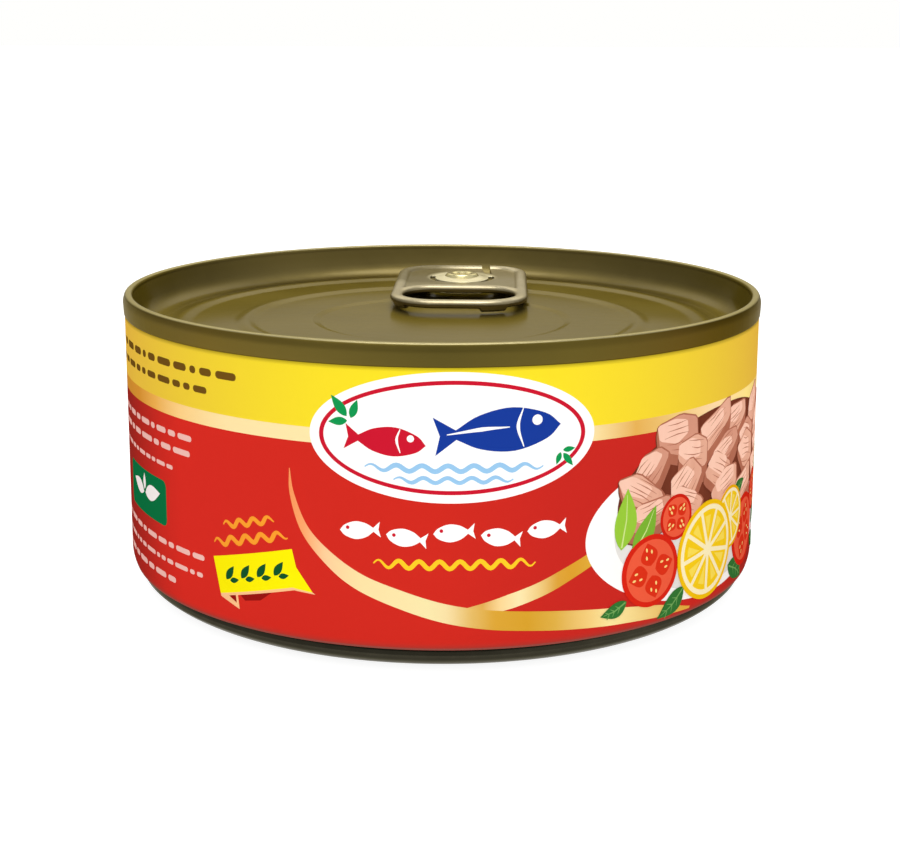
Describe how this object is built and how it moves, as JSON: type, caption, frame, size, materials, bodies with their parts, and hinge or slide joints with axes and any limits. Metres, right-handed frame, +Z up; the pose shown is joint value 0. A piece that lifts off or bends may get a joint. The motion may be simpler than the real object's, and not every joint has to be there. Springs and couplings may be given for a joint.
{
  "type": "food can",
  "caption": "Round low printed tinplate food can, shut, with a seamed-on recessed easy-open lid and a riveted ring-pull tab.",
  "frame": {"origin": "centre of the stand ring under the can, in the plane that it stands on", "axes": "+Z up along the can's axis, +Y towards the side where the tab's nose points, so the finger ring lies towards -Y, +X to the right seen from the front"},
  "size_m": [0.0874, 0.0874, 0.0397],
  "materials": {
    "printed_tinplate": "gloss varnished print on tinplate: red field, golden band and yellow band, bare lacquered base",
    "lacquered_lid": "olive-gold clear lacquer on tinplate, satin gloss",
    "tab_steel": "pale gold lacquered steel, glossy"
  },
  "bodies": {
    "root": {"can_body": "printed_tinplate", "lid": "lacquered_lid", "pull_tab": "tab_steel"}
  },
  "joints": []
}
